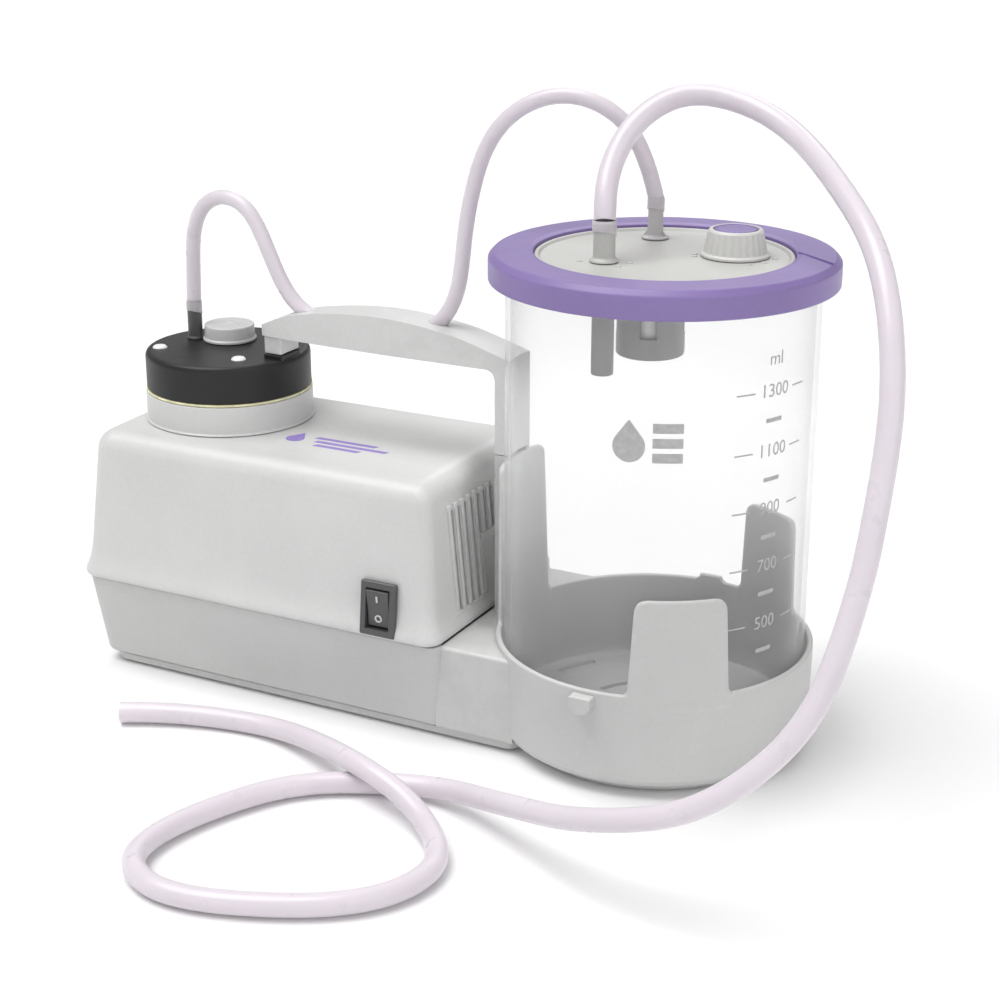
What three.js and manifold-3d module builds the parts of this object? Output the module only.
// Portable medical suction pump: a mains-driven piston pump in a two-part housing, a collection jar in
// an open holder, a carrying handle between the two, a vacuum hose and a patient hose.
// Millimetres, +Z up. x runs along the body from the pump end (-x) to the jar end (+x), -y is the front.
import * as THREE from "three";
import { mergeVertices } from "three/addons/utils/BufferGeometryUtils.js";
import Module from "manifold-3d";

const wasm = await Module();
wasm.setup();

// ---------------------------------------------------------------- driving dimensions
const GAP = 0.3; // between pieces that rest on each other

// jar and its screw ring
const JAR_X = 85.5;
const JAR_R = 56;
const JAR_WALL = 2;
const JAR_FOOT_Z = 7.3;
const JAR_RIM_Z = 179.4;
const RING_R = 62;
const RING_BORE_R = 46;
const RING_Z = [175.4, 185.9];
const LID_TOP_Z = 183.5;

// jar holder
const CUP_R = 59.3;
const CUP_BORE_R = 57;
const CUP_RIM_Z = 40.5;
const CUP_FLOOR_Z = 7;
const FOOT_Z = 0.8;

// lower tray of the pump
const TRAY_LEFT_X = -144.8;
const TRAY_RIGHT_X = 20;
const TRAY_HALF_Y = 49.6;
const TRAY_FOOT_HALF_Y = 45.3;
const TRAY_FOOT_IN_X = 3.6;
const TRAY_FOOT_Z = 4.5;
const SEAM_Z = 38.4;
const NECK_HALF_Y = 45.7;
const END_BOW = 1.2;
const LEFT_CORNER_R = 8;
const RIGHT_CORNER_R = 5.5;
const SHELL = 2.4;

// upper cover of the pump
const COVER_RIGHT_X = 18;
const COVER_TOP_Z = 98.4;
const COVER_TOP_HALF_Y = 43.2;
const COVER_DRAFT_X = [4.3, 5.7]; // left end, right end
const COVER_EDGE_R = 7;
const COVER_Z = SEAM_Z + 0.4;

// pump head
const HEAD_X = -105.4;
const HEAD_Y = 3.1;
const HEAD_R = 33.2;
const COLLAR_Z = [98.7, 110.3];
const CAP_Z = [111.5, 126.5];
const SLEEVE_BORE_R = 24.6;
const STROKE = 2;

// carrying handle and its column
const COLUMN_X = [22.6, 28.1];
const COLUMN_HALF_Y = 8.5;
const COLUMN_SEAM_Z = 103;
const HANDLE_WALL = 2;
const HANDLE_BOTTOM_Z = 135.6;
const HANDLE_ARCH = [[28.1, 140.2], [3.5, 147], [-31, 150], [-68.5, 145.6], [-83.9, 139.6]];

// drive
const SHAFT_Z = 46;
const SHAFT_R = 3;

// rocker switch on the front wall
const SWITCH_X = -4.7;
const SWITCH_Z = 50.2;
const SWITCH_SIZE = [15.2, 21.2];

// hoses: outer radius and route of the centre line
const PATIENT_HOSE_R = 3.95;
const PATIENT_HOSE = [
  [70.6, -18.2, 197.8], [70.5, -18.1, 201.5], [67, -8, 213], [71, 6, 229], [84, 18, 238],
  [104, 20, 236], [123, 13, 230], [152, -14, 216], [176, -43, 198], [189, -66, 166],
  [191, -84, 128], [190, -92, 109], [181, -110, 70], [153, -123, 42], [114, -121, 27],
  [77, -104, 15], [40, -89, 5.5], [2, -103, 4.5], [-12, -118, 4.5], [-27, -157, 4.5],
  [-25, -177, 4.5], [-9, -188, 4.5], [12, -187, 4.5], [50, -170, 4.5], [64, -154, 4.5],
  [67, -134, 4.5], [56, -117, 4.5], [39, -106, 9], [19, -100, 13], [-37, -74, 4.6],
  [-78, -81, 4.5], [-97, -90, 4.5],
];
const VACUUM_HOSE_R = 2.95;
const VACUUM_HOSE = [
  [-124.4, 7.4, 141.9], [-124, 7.8, 155], [-123, 7, 169], [-118, 6, 182], [-106, 5, 188],
  [-93, 3, 185], [-85, 1, 174], [-72, 0, 150], [-60, 0, 143], [-19, 0, 142],
  [-6, 0, 147], [1, 2, 158], [3, 6, 186], [5, 8, 199], [8, 10, 212],
  [15, 12, 224], [26, 15, 232], [39, 17, 235], [52, 19, 232], [63, 22, 223],
  [68, 24, 210], [70.6, 25.8, 202], [70.8, 26.1, 198.3],
];

// ---------------------------------------------------------------- materials
function plastic(color, roughness = 0.45) {
  return new THREE.MeshStandardMaterial({ color, roughness, metalness: 0 });
}
function metal(color, roughness = 0.35) {
  return new THREE.MeshStandardMaterial({ color, roughness, metalness: 1 });
}
const HOUSING = plastic(0xc8c8c8);
const HOLDER = plastic(0xbdbdbd);
const LID_WHITE = plastic(0xcbcbc6);
const RING_PURPLE = plastic(0x917db9, 0.35);
const BLACK = plastic(0x333333, 0.4);
const SWITCH_GREY = plastic(0x4a4a4a, 0.4);
const WHITE = plastic(0xe6e6e4, 0.4);
const GASKET = plastic(0xdedcb0, 0.6);
const RUBBER = plastic(0x202020, 0.8);
const CLEAR = plastic(0xe8e8e8, 0.1);
const HOSE = plastic(0xdacdda, 0.25);
const GREY = plastic(0x969696, 0.4);
const STEEL = metal(0xb4b4b4);
const BRASS = metal(0xc0a060);

// ---------------------------------------------------------------- solids
function solid(geometry) {
  const g = geometry.clone();
  g.deleteAttribute("normal");
  g.deleteAttribute("uv");
  const merged = mergeVertices(g, 1e-4);
  const made = new wasm.Manifold(
    new wasm.Mesh({
      numProp: 3,
      vertProperties: new Float32Array(merged.attributes.position.array),
      triVerts: new Uint32Array(merged.index.array),
    }),
  );
  return made;
}
function place(geometry, x = 0, y = 0, z = 0) {
  return solid(geometry.clone().translate(x, y, z));
}
function box(x0, x1, y0, y1, z0, z1) {
  const g = new THREE.BoxGeometry(x1 - x0, y1 - y0, z1 - z0);
  return place(g, (x0 + x1) / 2, (y0 + y1) / 2, (z0 + z1) / 2);
}
function rod(radius, z0, z1, x, y, segments = 16, topRadius = radius) {
  const g = new THREE.CylinderGeometry(topRadius, radius, z1 - z0, segments).rotateX(Math.PI / 2);
  return place(g, x, y, (z0 + z1) / 2);
}
function rodX(radius, x0, x1, y, z, segments = 16) {
  const g = new THREE.CylinderGeometry(radius, radius, x1 - x0, segments).rotateZ(Math.PI / 2);
  return place(g, (x0 + x1) / 2, y, z);
}
// a profile of [radius, z] pairs turned about a vertical axis; it runs anticlockwise seen with +r right, +z up
function turned(profile, x = 0, y = 0, segments = 32) {
  const points = profile.map(([r, z]) => new THREE.Vector2(r, z));
  const onAxis = profile[0][0] === 0 && profile[profile.length - 1][0] === 0;
  if (!onAxis) points.push(points[0].clone());
  return place(new THREE.LatheGeometry(points, segments).rotateX(Math.PI / 2), x, y, 0);
}
function tube(outer, inner, z0, z1, x, y, segments = 32) {
  return turned([[inner, z0], [outer, z0], [outer, z1], [inner, z1]], x, y, segments);
}
// a closed skin through rings of points, each ring anticlockwise seen from above, from the lowest up
function loft(rings) {
  const count = rings[0].length;
  const position = rings.flat(2);
  const index = [];
  for (let k = 0; k + 1 < rings.length; k++) {
    for (let i = 0; i < count; i++) {
      const a = k * count + i;
      const b = k * count + ((i + 1) % count);
      index.push(a, b, b + count, a, b + count, a + count);
    }
  }
  const flat = (ring) => ring.map(([x, y]) => new THREE.Vector2(x, y));
  const top = (rings.length - 1) * count;
  for (const [a, b, c] of THREE.ShapeUtils.triangulateShape(flat(rings[0]), [])) index.push(a, c, b);
  for (const [a, b, c] of THREE.ShapeUtils.triangulateShape(flat(rings[rings.length - 1]), []))
    index.push(top + a, top + b, top + c);
  const g = new THREE.BufferGeometry();
  g.setAttribute("position", new THREE.BufferAttribute(new Float32Array(position), 3));
  g.setIndex(index);
  return solid(g.toNonIndexed());
}
// an outline in the x-z plane pushed through y0..y1
function sideways(outline, y0, y1) {
  const shape = new THREE.Shape(outline.map(([x, z]) => new THREE.Vector2(x, z)));
  const g = new THREE.ExtrudeGeometry(shape, { depth: y1 - y0, bevelEnabled: false });
  return solid(g.rotateX(Math.PI / 2).translate(0, y1, 0));
}
// an outline in the y-z plane pushed through x0..x1
function across(outline, x0, x1) {
  const shape = new THREE.Shape(outline.map(([y, z]) => new THREE.Vector2(y, z)));
  const g = new THREE.ExtrudeGeometry(shape, { depth: x1 - x0, bevelEnabled: false });
  const axes = [new THREE.Vector3(0, 1, 0), new THREE.Vector3(0, 0, 1), new THREE.Vector3(1, 0, 0)];
  g.applyMatrix4(new THREE.Matrix4().makeBasis(...axes));
  return solid(g.translate(x0, 0, 0));
}
// an outline in the x-y plane raised from z0 to z1
function raised(outline, z0, z1) {
  const shape = new THREE.Shape(outline.map(([x, y]) => new THREE.Vector2(x, y)));
  return solid(new THREE.ExtrudeGeometry(shape, { depth: z1 - z0, bevelEnabled: false }).translate(0, 0, z0));
}
function roundedRectangle(width, height, radius) {
  const w = width / 2;
  const h = height / 2;
  const s = new THREE.Shape();
  s.moveTo(-w + radius, -h);
  s.lineTo(w - radius, -h);
  s.absarc(w - radius, -h + radius, radius, -Math.PI / 2, 0);
  s.absarc(w - radius, h - radius, radius, 0, Math.PI / 2);
  s.absarc(-w + radius, h - radius, radius, Math.PI / 2, Math.PI);
  s.absarc(-w + radius, -h + radius, radius, Math.PI, 1.5 * Math.PI);
  return s;
}
function hoseAlong(route, radius, steps, sides) {
  const curve = new THREE.CatmullRomCurve3(route.map((p) => new THREE.Vector3(...p)), false, "centripetal");
  const section = new THREE.Shape();
  for (let i = 0; i < sides; i++) {
    const a = (2 * Math.PI * i) / sides;
    const method = i === 0 ? "moveTo" : "lineTo";
    section[method](radius * Math.cos(a), radius * Math.sin(a));
  }
  return solid(new THREE.ExtrudeGeometry(section, { steps, extrudePath: curve, bevelEnabled: false }));
}
function arcPoints(cx, cy, radius, from, to, count) {
  const points = [];
  for (let i = 0; i <= count; i++) {
    const a = ((from + ((to - from) * i) / count) * Math.PI) / 180;
    points.push([cx + radius * Math.cos(a), cy + radius * Math.sin(a)]);
  }
  return points;
}

const root = new THREE.Group();
function piece(name, body, material, parent = root) {
  const m = body.getMesh();
  const g = new THREE.BufferGeometry();
  g.setAttribute("position", new THREE.BufferAttribute(new Float32Array(m.vertProperties), 3));
  g.setIndex(new THREE.BufferAttribute(new Uint32Array(m.triVerts), 1));
  g.computeVertexNormals();
  const mesh = new THREE.Mesh(g, material);
  mesh.name = name;
  parent.add(mesh);
  return mesh;
}

// ---------------------------------------------------------------- outlines of the pump body
// a rounded rectangle whose left end bows outwards
function bodyRing(left, right, halfY, inset, z) {
  const leftR = Math.max(LEFT_CORNER_R - inset, 1.5);
  const rightR = Math.max(RIGHT_CORNER_R - inset, 1.5);
  const y = halfY - leftR;
  const points = [];
  points.push(...arcPoints(right - rightR, -halfY + rightR, rightR, -90, 0, 4));
  points.push(...arcPoints(right - rightR, halfY - rightR, rightR, 0, 90, 4));
  points.push(...arcPoints(left + leftR, y, leftR, 90, 180, 4));
  for (const t of [0.5, 0, -0.5]) points.push([left - END_BOW * (1 - t * t), y * t]);
  points.push(...arcPoints(left + leftR, -y, leftR, 180, 270, 4));
  return points.map(([px, py]) => [px, py, z]);
}
const DRAFT_PER_MM = (TRAY_HALF_Y - COVER_TOP_HALF_Y) / (COVER_TOP_Z - SEAM_Z);
const DRAFT_X_PER_MM = COVER_DRAFT_X.map((draft) => draft / (COVER_TOP_Z - SEAM_Z));
function coverRing(z, out, inset = 0) {
  const up = z - SEAM_Z;
  const left = TRAY_LEFT_X + DRAFT_X_PER_MM[0] * up - out + inset;
  const right = COVER_RIGHT_X - DRAFT_X_PER_MM[1] * up + out - inset;
  const halfY = TRAY_HALF_Y - DRAFT_PER_MM * up + out - inset;
  return bodyRing(left, right, halfY, inset - out, z);
}
function wallY(z) {
  return TRAY_HALF_Y - DRAFT_PER_MM * (z - SEAM_Z);
}

// ---------------------------------------------------------------- lower housing with the jar holder
function trayRing(z, inset) {
  const t = (z - TRAY_FOOT_Z) / (SEAM_Z - TRAY_FOOT_Z);
  const left = TRAY_LEFT_X + TRAY_FOOT_IN_X * (1 - t) + inset;
  const halfY = TRAY_FOOT_HALF_Y + (TRAY_HALF_Y - TRAY_FOOT_HALF_Y) * t - inset;
  return bodyRing(left, TRAY_RIGHT_X - inset, halfY, inset, z);
}
// a wall of the holder between two radii, cut to a tab with rounded shoulders that faces outwards at an angle
function tab(angle, halfWidth, topHalfWidth, z0, z1, shoulder) {
  const s = new THREE.Shape();
  s.moveTo(-halfWidth, z0);
  s.lineTo(halfWidth, z0);
  s.lineTo(topHalfWidth, z1 - shoulder);
  s.absarc(topHalfWidth - shoulder, z1 - shoulder, shoulder, 0, Math.PI / 2);
  s.absarc(-topHalfWidth + shoulder, z1 - shoulder, shoulder, Math.PI / 2, Math.PI);
  const g = new THREE.ExtrudeGeometry(s, { depth: CUP_R + 6, bevelEnabled: false, curveSegments: 5 });
  g.rotateX(Math.PI / 2).rotateZ((angle * Math.PI) / 180).translate(JAR_X, 0, 0);
  return solid(g).intersect(tube(CUP_R, CUP_BORE_R, z0 - 1, z1 + 1, JAR_X, 0, 40));
}
function holderShell() {
  const outer = turned(
    [
      [0, FOOT_Z], [51, FOOT_Z], [52.2, 2], [52.6, 4.3], [56.6, 4.9], [58.3, 7.2], [CUP_R, 36],
      [CUP_R, CUP_RIM_Z - 0.7], [CUP_R - 0.7, CUP_RIM_Z], [0, CUP_RIM_Z],
    ],
    JAR_X, 0, 40,
  );
  return outer;
}
let lower = loft([trayRing(TRAY_FOOT_Z, 1.2), trayRing(TRAY_FOOT_Z + 1.2, 0), trayRing(SEAM_Z, 0)]);
lower = lower.subtract(loft([trayRing(7, SHELL), trayRing(SEAM_Z + 1, SHELL)]));
const neckX = [TRAY_RIGHT_X - 3, JAR_X - 20];
lower = lower.add(box(neckX[0], neckX[1], -NECK_HALF_Y, NECK_HALF_Y, TRAY_FOOT_Z, SEAM_Z));
const neckInside = box(TRAY_RIGHT_X - 6, JAR_X - 61.5, -NECK_HALF_Y + 2.4, NECK_HALF_Y - 2.4, 7, SEAM_Z - 2.4);
lower = lower.add(holderShell()).add(tab(180, 4.7, 4.7, 36, 42.7, 1));
lower = lower.add(tab(32, 18.4, 16.4, 30, 76.5, 5)).add(tab(152, 15.3, 14, 30, 76.5, 5));
lower = lower.subtract(neckInside);
lower = lower.subtract(rod(CUP_BORE_R, CUP_FLOOR_Z, 120, JAR_X, 0, 40));
lower = lower.subtract(rod(48, 0, 3.2, JAR_X, 0, 32));
for (const [r, from, to] of [[50.5, 140, 160], [50.5, 200, 220], [50.5, 20, 40], [50.5, 320, 340], [27, 133, 159], [27, 313, 339]]) {
  const slot = arcPoints(JAR_X, 0, r + 1.2, from, to, 4).concat(arcPoints(JAR_X, 0, r - 1.2, to, from, 4));
  lower = lower.subtract(raised(slot, r > 48 ? 4.4 : 1, CUP_FLOOR_Z + 1));
}
// rounded peg on the front of the holder, to hang the patient hose on
const PEG_Z = 36.6;
const peg = new THREE.Shape();
peg.moveTo(4.2, 2.4);
peg.lineTo(4.2, 0);
peg.absarc(0, 0, 4.2, 0, -Math.PI, true);
peg.lineTo(-4.2, 2.4);
const pegBody = new THREE.ExtrudeGeometry(peg, { depth: 5.6, bevelEnabled: false, curveSegments: 8 });
pegBody.rotateX(Math.PI / 2).translate(-1, -58, PEG_Z).translate(JAR_X, 0, 0);
lower = lower.add(solid(pegBody));
// pillars for the screws of the bottom plate
const BASE_SCREWS = [[-90, -35], [-90, 35], [2, -33], [2, 33]];
for (const [x, y] of BASE_SCREWS) {
  lower = lower.add(rod(4, 6, 24, x, y, 16)).subtract(rod(1.6, 3, 20, x, y, 12));
}
piece("base_tray", lower, HOLDER);

// upright between the neck and the handle: a channel joined to the holder's tall jar-side tab
let post = box(COLUMN_X[0], JAR_X - 50, -COLUMN_HALF_Y, COLUMN_HALF_Y, SEAM_Z + GAP, COLUMN_SEAM_Z);
post = post.subtract(
  box(
    COLUMN_X[0] + HANDLE_WALL, JAR_X - CUP_R + 0.4, -COLUMN_HALF_Y + HANDLE_WALL, COLUMN_HALF_Y - HANDLE_WALL,
    SEAM_Z + 2, COLUMN_SEAM_Z + 1,
  ),
);
post = post.add(tab(-90, 21.5, 18.5, CUP_RIM_Z + GAP, 101.5, 5));
post = post.subtract(rod(CUP_BORE_R, CUP_FLOOR_Z, 120, JAR_X, 0, 40));
post = post.subtract(rod(CUP_R + GAP, 30, CUP_RIM_Z + GAP, JAR_X, 0, 40));
piece("handle_post", post, HOLDER);

// bottom plate, its screws and the rubber feet
let plate = loft([
  bodyRing(TRAY_LEFT_X + 8, 49, 42.8, 1, FOOT_Z),
  bodyRing(TRAY_LEFT_X + 7, 50, 43.8, 0, FOOT_Z + 1),
  bodyRing(TRAY_LEFT_X + 7, 50, 43.8, 0, TRAY_FOOT_Z - GAP),
]);
plate = plate.subtract(rod(53.4, 0, 6, JAR_X, 0, 40));
const PUMP_FEET = [[-126, -30], [-126, 30]];
for (const [x, y] of PUMP_FEET) plate = plate.subtract(rod(7, 0, 3.1, x, y, 16));
for (const [x, y] of BASE_SCREWS) {
  plate = plate.subtract(rod(1.9, 0, 6, x, y, 12)).subtract(rod(3.6, 0, 2.8, x, y, 16));
}
piece("bottom_plate", plate, HOLDER);
PUMP_FEET.forEach(([x, y], i) => piece(`rubber_foot_${i + 1}`, rod(6.5, 0, 2.8, x, y, 16), RUBBER));
[[JAR_X + 24, -32], [JAR_X + 24, 32]].forEach(([x, y], i) =>
  piece(`rubber_foot_${i + 3}`, rod(6.5, 0, 2.9, x, y, 16), RUBBER),
);
BASE_SCREWS.forEach(([x, y], i) => {
  let screw = rod(3.2, 1.1, 2.5, x, y, 16).add(rod(1.25, 2, 15, x, y, 10));
  screw = screw.subtract(box(x - 2, x + 2, y - 0.3, y + 0.3, 1, 1.7));
  screw = screw.subtract(box(x - 0.3, x + 0.3, y - 2, y + 2, 1, 1.7));
  piece(`base_screw_${i + 1}`, screw, STEEL);
});

// ---------------------------------------------------------------- upper cover
const skirt = [[COVER_Z, 1.2], [39.7, 1.9], [41.5, 1.9], [44.2, 1], [47.5, 0.3], [51, 0]];
const coverRings = skirt.map(([z, out]) => coverRing(z, out));
for (let i = 0; i <= 4; i++) {
  const a = (i * Math.PI) / 8;
  const z = COVER_TOP_Z - COVER_EDGE_R + COVER_EDGE_R * Math.sin(a);
  coverRings.push(coverRing(z, 0, COVER_EDGE_R * (1 - Math.cos(a))));
}
let cover = loft(coverRings);
cover = cover.add(turned(
  [[0, 97], [34.3, 97], [34.3, COVER_TOP_Z + 0.1], [0, COVER_TOP_Z + 0.1]], HEAD_X, HEAD_Y,
).intersect(box(TRAY_LEFT_X, 0, -40, 40, 97, COVER_TOP_Z + 0.1)));
cover = cover.subtract(loft([
  coverRing(COVER_Z - 1, 0, 2.2), coverRing(COVER_TOP_Z - 7, 0, 2.2), coverRing(COVER_TOP_Z - 2.3, 0, 6),
]));
cover = cover.subtract(rod(28.4, 90, 110, HEAD_X, HEAD_Y, 32));
// cooling louvres through the wall that faces the jar; the middle ones stop at a cross bar
for (let i = 0; i < 12; i++) {
  const y = -26 + i * 5;
  const middle = Math.abs(y) < 7;
  cover = cover.subtract(box(10, 22, y - 1.2, y + 1.2, middle ? 69.5 : 44.5, 85));
}
cover = cover.add(box(13, 16.4, -7.5, 7.5, 66, 68.6));
// openings for the switch and for the mains inlet
cover = cover.subtract(box(SWITCH_X - 6.6, SWITCH_X + 6.6, -56, -40, SWITCH_Z - 9.3, SWITCH_Z + 9.6));
const lean = Math.atan(DRAFT_PER_MM);
const bezelSeat = box(-8.1, 8.1, -8, 0.4, -11.2, 11.2).rotate([(-lean * 180) / Math.PI, 0, 0]);
cover = cover.subtract(bezelSeat.translate([SWITCH_X, -wallY(SWITCH_Z) - 0.2, SWITCH_Z]));
const INLET_X = -66;
const INLET_Z = 64;
cover = cover.subtract(box(INLET_X - 12.2, INLET_X + 12.2, 38, 56, INLET_Z - 9.2, INLET_Z + 9.2));
const FUSE_X = -40;
cover = cover.subtract(rod(5.2, -60, -40, 0, 0, 20).rotate([90, 0, 0]).translate([FUSE_X, -4, INLET_Z]));
piece("upper_cover", cover, HOUSING);

// ---------------------------------------------------------------- pump head
const collar = turned(
  [
    [27.9, COLLAR_Z[0]], [34.3, COLLAR_Z[0]], [33.7, COLLAR_Z[0] + 1],
    [33.6, COLLAR_Z[1] - 0.5], [33.1, COLLAR_Z[1]], [27.9, COLLAR_Z[1]],
  ],
  HEAD_X, HEAD_Y, 36,
);
piece("head_collar", collar, HOUSING);
piece("head_gasket", tube(33.3, 27.6, COLLAR_Z[1] + 0.2, CAP_Z[0] - 0.2, HEAD_X, HEAD_Y, 36), GASKET);

const PLUGS = [[-23.4, -14.1], [15.2, -14.5], [-12.5, 22.5]];
const NIPPLE = [-124.4, 7.4];
const KNOB = [-111, 12.5];
let cap = turned(
  [
    [0, 116], [24, 116], [24, CAP_Z[0]], [HEAD_R, CAP_Z[0]], [HEAD_R, CAP_Z[1] - 2.4], [32.4, CAP_Z[1] - 0.8],
    [30.8, CAP_Z[1]], [0, CAP_Z[1]],
  ],
  HEAD_X, HEAD_Y, 36,
);
for (const [dx, dy] of PLUGS) cap = cap.subtract(rod(3.4, CAP_Z[1] - 3, CAP_Z[1] + 1, HEAD_X + dx, HEAD_Y + dy, 14));
cap = cap.subtract(rod(2, 110, 130, NIPPLE[0], NIPPLE[1], 16)).subtract(rod(3, 120, 130, KNOB[0], KNOB[1], 20));
const FOOT_PAD = [-82.4, -74, -5.2, 8.2];
cap = cap.add(box(FOOT_PAD[0], FOOT_PAD[1], FOOT_PAD[2], FOOT_PAD[3], 120, 128.2));
piece("head_cap", cap, BLACK);
PLUGS.forEach(([dx, dy], i) => {
  const plug = turned([[0, 124], [3, 124], [3, 126.7], [2.2, 127.3], [0, 127.5]], HEAD_X + dx, HEAD_Y + dy, 14);
  piece(`cap_plug_${i + 1}`, plug, WHITE);
});
let knob = turned(
  [
    [0, 126.8], [10.9, 126.8], [10.9, 127.6], [10.3, 128.3], [10.1, 132.6], [9.5, 133.3], [3.2, 133.2],
    [2.4, 132.9], [0, 132.8],
  ],
  KNOB[0], KNOB[1], 24,
);
knob = knob.add(rod(2.6, 121, 127, KNOB[0], KNOB[1], 20));
piece("head_knob", knob, HOUSING);
let nipple = turned(
  [
    [1.1, 117], [1.7, 117], [1.7, 126.8], [2.95, 126.8], [2.95, 139.6], [2.6, 141.5], [1.1, 141.5],
  ],
  NIPPLE[0], NIPPLE[1], 16,
);
piece("head_nipple", nipple, SWITCH_GREY);

// ---------------------------------------------------------------- carrying handle
function handlePlan(inset, z0, z1) {
  const side = [
    [-83.9 + inset, 3.2], [-83 + inset, 4.8], [-81.6 + inset, 5.6], [-60, 7.2], [-30, 8.3], [0, COLUMN_HALF_Y],
    [40, COLUMN_HALF_Y],
  ];
  const near = side.map(([x, y]) => [x, -y + inset]);
  const far = side.map(([x, y]) => [x, y - inset]).reverse();
  return raised(near.concat(far), z0, z1);
}
const gapCorner = arcPoints(COLUMN_X[0] - 4, HANDLE_BOTTOM_Z - 4, 4, 90, 0, 5);
const archCurve = new THREE.SplineCurve(HANDLE_ARCH.map(([x, z]) => new THREE.Vector2(x, z)));
const archPoints = archCurve.getPoints(16).map((p) => [p.x, p.y]);
const handleOutline = [[-83.9, HANDLE_BOTTOM_Z + 1], [-82.9, HANDLE_BOTTOM_Z]].concat(
  gapCorner,
  [[COLUMN_X[0], COLUMN_SEAM_Z + GAP], [COLUMN_X[1] + 3, COLUMN_SEAM_Z + GAP]],
  [[COLUMN_X[1] + 3, HANDLE_ARCH[0][1] - 1]],
  archPoints,
);
const channelCorner = arcPoints(COLUMN_X[0] - 3, HANDLE_BOTTOM_Z - 3 + 2.2, 5, 90, 0, 5);
const channelOutline = [[-81.9, HANDLE_BOTTOM_Z + HANDLE_WALL]].concat(
  channelCorner.map(([x, z]) => [x, z - 2]),
  [[COLUMN_X[0] + HANDLE_WALL, 100], [40, 100], [40, 160], [-81.9, 160]],
);
let handle = sideways(handleOutline, -12, 12).intersect(handlePlan(0, 100, 160));
handle = handle.subtract(sideways(channelOutline, -12, 12).intersect(handlePlan(HANDLE_WALL, 90, 170)));
handle = handle.subtract(rod(JAR_R + 1.4, 100, 170, JAR_X, 0, 40));
piece("handle", handle, HOUSING);
const blockX = [-82.1, -74.3];
piece("handle_foot", box(blockX[0], blockX[1], -4.9, 7.9, 128.5, HANDLE_BOTTOM_Z - GAP), HOUSING);

// ---------------------------------------------------------------- switch
const switchGroup = new THREE.Group();
switchGroup.position.set(SWITCH_X, -wallY(SWITCH_Z) - 0.2, SWITCH_Z);
switchGroup.rotation.x = -lean;
root.add(switchGroup);
let bezel = solid(new THREE.ExtrudeGeometry(roundedRectangle(SWITCH_SIZE[0], SWITCH_SIZE[1], 1), {
  depth: 2.3, bevelEnabled: false, curveSegments: 3,
}).rotateX(Math.PI / 2));
bezel = bezel.add(box(-6, 6, -1, 13, -8.6, 8.6));
bezel = bezel.subtract(box(-5.1, 5.1, -4, 5, -8, 8));
piece("switch_bezel", bezel, SWITCH_GREY, switchGroup);
// rocker tilted so that its lower half is pressed in
const rockerSide = [[-7.3, 2.4], [-7.2, -0.4], [0, -1.5], [7.2, -3.2], [7.5, 1], [3, 3.4], [-3, 3.4]];
piece("switch_rocker", across(rockerSide.map(([z, y]) => [y, z]).reverse(), -4.7, 4.7), SWITCH_GREY, switchGroup);

// ---------------------------------------------------------------- mains inlet and fuse on the rear wall
const rearGroup = new THREE.Group();
rearGroup.position.set(INLET_X, wallY(INLET_Z), INLET_Z);
rearGroup.rotation.x = lean;
root.add(rearGroup);
let inlet = box(-15, 15, 0.3, 2.5, -11.5, 11.5).add(box(-11.8, 11.8, -14, 1, -8.6, 8.6));
inlet = inlet.subtract(box(-9.8, 9.8, -11, 4, -6.6, 6.6));
for (const [x, z] of [[-5, 1.5], [0, -1.5], [5, 1.5]]) {
  inlet = inlet.add(box(x - 0.5, x + 0.5, -12, -1, z - 2, z + 2));
}
piece("mains_inlet", inlet, BLACK, rearGroup);
let fuse = rodX(6.6, 0.3, 3.6, 0, 0, 24).add(rodX(4.6, -16, 1, 0, 0, 20)).rotate([0, 0, 90]);
fuse = fuse.translate([FUSE_X - INLET_X, 0, 0]);
fuse = fuse.subtract(box(FUSE_X - INLET_X - 5, FUSE_X - INLET_X + 5, 3, 5, -0.6, 0.6));
piece("fuse_holder", fuse, BLACK, rearGroup);

// ---------------------------------------------------------------- drive inside the cover
const MOTOR_X = [-74, -26];
let motor = rodX(24, MOTOR_X[0], MOTOR_X[1], HEAD_Y, SHAFT_Z, 28);
motor = motor.add(rodX(9, MOTOR_X[0] - 4, MOTOR_X[1] + 4, HEAD_Y, SHAFT_Z, 16));
motor = motor.subtract(rodX(SHAFT_R + 0.3, -100, 0, HEAD_Y, SHAFT_Z, 16));
piece("motor_body", motor, STEEL);
let cradle = box(MOTOR_X[0] + 3, MOTOR_X[1] - 3, HEAD_Y - 26, HEAD_Y + 26, 7.3, 40);
cradle = cradle.subtract(rodX(24.3, -90, 0, HEAD_Y, SHAFT_Z, 28));
cradle = cradle.subtract(box(MOTOR_X[0] + 8, MOTOR_X[1] - 8, -60, 60, 12, 60));
piece("motor_cradle", cradle, STEEL);
const CRANK_X = [HEAD_X - 3, HEAD_X + 3];
let shaft = rodX(SHAFT_R, HEAD_X - 8, -6, HEAD_Y, SHAFT_Z, 16);
shaft = shaft.add(rodX(6, CRANK_X[0], CRANK_X[1], HEAD_Y, SHAFT_Z - STROKE, 24));
shaft = shaft.add(rodX(9, CRANK_X[1] + 2, CRANK_X[1] + 7, HEAD_Y, SHAFT_Z, 16));
piece("motor_shaft", shaft, STEEL);
let fan = rodX(6, -20, -8, HEAD_Y, SHAFT_Z, 16);
for (let i = 0; i < 7; i++) {
  const blade = box(-19, -9, -0.8, 0.8, 4, 22).rotate([(360 * i) / 7, 0, 0]).translate([0, HEAD_Y, SHAFT_Z]);
  fan = fan.add(blade);
}
fan = fan.subtract(rodX(SHAFT_R + 0.3, -30, 0, HEAD_Y, SHAFT_Z, 16));
piece("cooling_fan", fan, BLACK);
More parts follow.
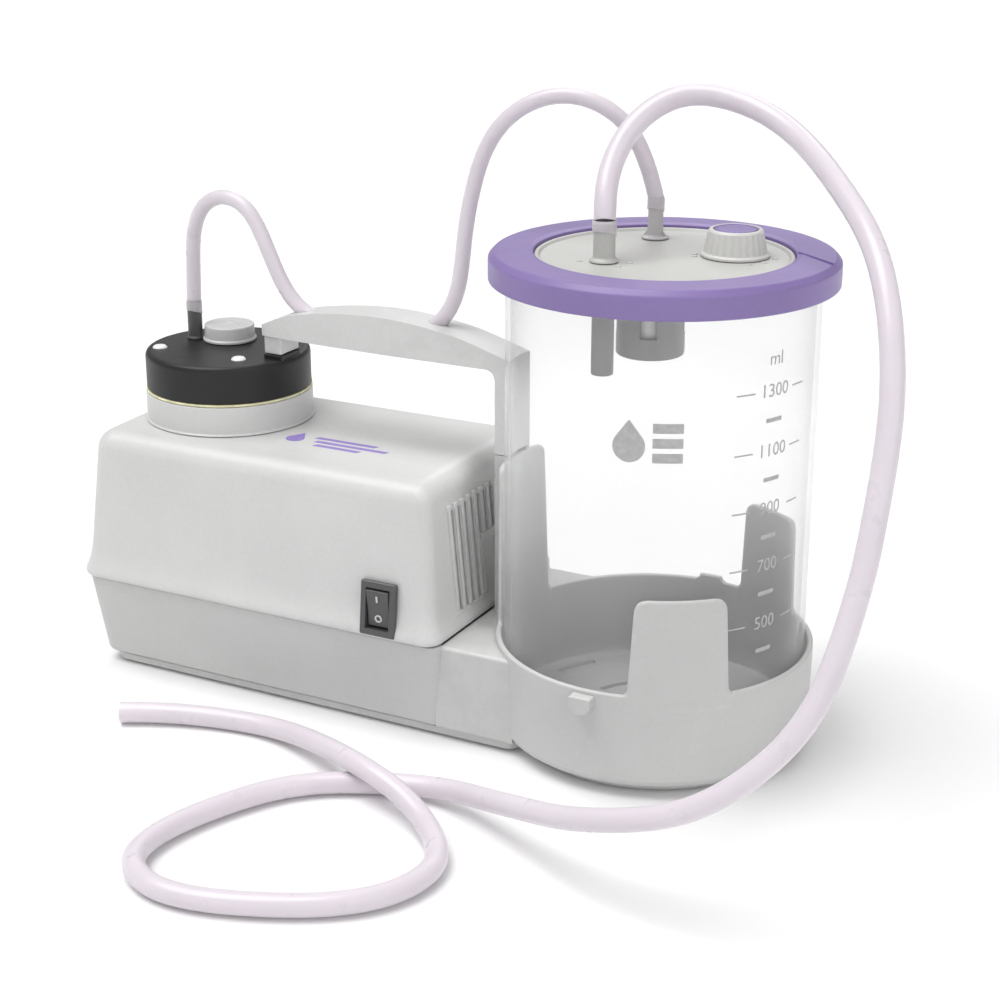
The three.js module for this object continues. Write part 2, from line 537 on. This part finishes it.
// sleeve in which the piston runs, on its stand
const sleeve = turned(
  [[SLEEVE_BORE_R, 84.3], [29, 84.3], [29, 87], [27.4, 87], [27.4, 110], [SLEEVE_BORE_R, 110]],
  HEAD_X, HEAD_Y, 28,
);
piece("pump_sleeve", sleeve, STEEL);
let stand = rod(31, 80, 84, HEAD_X, HEAD_Y, 28).subtract(rod(SLEEVE_BORE_R, 78, 90, HEAD_X, HEAD_Y, 28));
for (const side of [-1, 1]) {
  const y = HEAD_Y + side * 28;
  stand = stand.add(box(HEAD_X - 7, HEAD_X + 7, y - 1.5, y + 1.5, 7.3, 81));
  stand = stand.add(box(HEAD_X - 7, HEAD_X + 7, y - 4 - 2 * side, y + 4 - 2 * side, 7.3, 10.3));
}
piece("pump_stand", stand, STEEL);
let conRod = rodX(14, CRANK_X[0], CRANK_X[1], HEAD_Y, SHAFT_Z, 16);
conRod = conRod.add(box(CRANK_X[0], CRANK_X[1], HEAD_Y - 3.5, HEAD_Y + 3.5, SHAFT_Z + 12, 97));
conRod = conRod.subtract(rodX(10.9, CRANK_X[0] - 1, CRANK_X[1] + 1, HEAD_Y, SHAFT_Z, 16));
piece("connecting_rod", conRod, BRASS);
const piston = turned(
  [[0, 97.3], [24.1, 97.3], [24.1, 99], [23.2, 99], [23.2, 101], [24.1, 101], [24.1, 104], [0, 104]],
  HEAD_X, HEAD_Y, 28,
);
piece("piston", piston, STEEL);
let valve = rod(23.4, 111.7, 113.7, HEAD_X, HEAD_Y, 32);
for (const [dx, dy] of [[-19, 4.3], [8, 0], [12, 8]]) valve = valve.subtract(rod(1.6, 110, 115, HEAD_X + dx, HEAD_Y + dy, 12));
piece("valve_plate", valve, BRASS);

// ---------------------------------------------------------------- jar, lid and screw ring
const innerR = JAR_R - JAR_WALL;
const jar = turned(
  [
    [0, JAR_FOOT_Z + 0.8], [46, JAR_FOOT_Z + 0.8], [47.5, JAR_FOOT_Z], [53, JAR_FOOT_Z], [55.1, 8.2], [JAR_R, 10.6],
    [JAR_R, 176.6], [57.8, 177.2], [57.8, 178.4], [JAR_R, 179], [JAR_R, JAR_RIM_Z], [innerR, JAR_RIM_Z],
    [innerR, 12.5], [52.4, 10.4], [50.5, 9.9], [0, 9.9],
  ],
  JAR_X, 0, 36,
);
piece("jar", jar, CLEAR);
piece("lid_gasket", tube(56.4, 53.2, JAR_RIM_Z + 0.2, 180.3, JAR_X, 0, 32), GASKET);
let lid = turned(
  [
    [0, 181.3], [43.5, 181.3], [44.6, 180.6], [57, 180.6], [57, 182.1], [45.7, 182.1], [45.7, 184.2],
    [45.2, 184.6], [44.2, 184.2], [43.6, LID_TOP_Z], [0, LID_TOP_Z],
  ],
  JAR_X, 0, 36,
);
const PATIENT_NOZZLE = [70.6, -18.2];
const VACUUM_NOZZLE = [70.8, 26.1];
const LID_KNOB = [107.4, 11.9];
lid = lid.subtract(rod(2.6, 180, 185, PATIENT_NOZZLE[0], PATIENT_NOZZLE[1], 16));
lid = lid.subtract(rod(1.6, 180, 185, VACUUM_NOZZLE[0], VACUUM_NOZZLE[1], 16));
piece("lid", lid, LID_WHITE);
let ring = turned(
  [
    [59, RING_Z[0]], [61.6, RING_Z[0]], [RING_R, 176.4], [RING_R, 183], [61.2, 184.8], [59.4, RING_Z[1] - 0.2],
    [48, RING_Z[1]], [RING_BORE_R, RING_Z[1] - 0.6], [RING_BORE_R, 182.5], [59, 182.5],
  ],
  JAR_X, 0, 40,
);
// low oblique stop rib across the top of the ring
const rib = box(-10.2, 10.2, -0.9, 0.9, 184.4, RING_Z[1] + 0.4).rotate([0, 0, -36]).translate([JAR_X + 52, 11.8, 0]);
ring = ring.add(rib);
piece("screw_ring", ring, RING_PURPLE);

let patientNozzle = turned(
  [[2.2, 183.8], [5, 183.8], [4.4, 184.6], [3.85, 185.2], [3.8, 196.6], [3.5, 197.2], [2.2, 197.2]],
  PATIENT_NOZZLE[0], PATIENT_NOZZLE[1], 16,
);
piece("patient_nozzle", patientNozzle, LID_WHITE);
let vacuumNozzle = turned(
  [[1.3, 183.8], [5, 183.8], [5, 184.4], [2.9, 184.9], [2.7, 197.2], [2.3, 197.9], [1.3, 197.9]],
  VACUUM_NOZZLE[0], VACUUM_NOZZLE[1], 16,
);
for (const side of [-1, 1]) {
  const [x, y] = VACUUM_NOZZLE;
  const fin = sideways([[x + side * 2, 184.5], [x + side * 4.6, 184.5], [x + side * 2, 187.5]], y - 0.5, y + 0.5);
  vacuumNozzle = vacuumNozzle.add(fin);
}
piece("vacuum_nozzle", vacuumNozzle, GREY);

const lidKnob = turned(
  [[0, 183.8], [12.2, 183.8], [12.2, 184.7], [11.3, 185.1], [9.6, 192.6], [9, 193.3], [7.9, 193.3], [7.9, 192.3], [0, 192.3]],
  LID_KNOB[0], LID_KNOB[1], 24,
);
piece("lid_knob", lidKnob, LID_WHITE);
piece("lid_knob_disc", rod(7.6, 192.6, 193.5, LID_KNOB[0], LID_KNOB[1], 24), RING_PURPLE);

const DIP_TUBE_END_Z = 143.3;
piece("dip_tube", tube(4, 2.6, DIP_TUBE_END_Z, 181, PATIENT_NOZZLE[0], PATIENT_NOZZLE[1], 16), GREY);
const CAGE = [72.5, 20];
let cage = tube(12.7, 11.2, 143, 181, CAGE[0], CAGE[1], 24);
cage = cage.add(rod(12.7, 142, 144, CAGE[0], CAGE[1], 24).subtract(rod(6.5, 140, 146, CAGE[0], CAGE[1], 24)));
for (const turn of [0, 90]) {
  const window = box(-20, 20, -3, 3, 150, 168).rotate([0, 0, turn + 20]).translate([CAGE[0], CAGE[1], 0]);
  cage = cage.subtract(window);
}
piece("float_cage", cage, GREY);
const float = turned(
  [[0, 144.6], [8.6, 144.6], [10, 146], [10, 157], [8.6, 159.2], [4, 161.2], [0, 161.6]], CAGE[0], CAGE[1], 24,
);
piece("float", float, WHITE);

// ---------------------------------------------------------------- hoses
piece("patient_hose", hoseAlong(PATIENT_HOSE, PATIENT_HOSE_R, 58, 8), HOSE);
piece("vacuum_hose", hoseAlong(VACUUM_HOSE, VACUUM_HOSE_R, 34, 8), HOSE);

export default root;
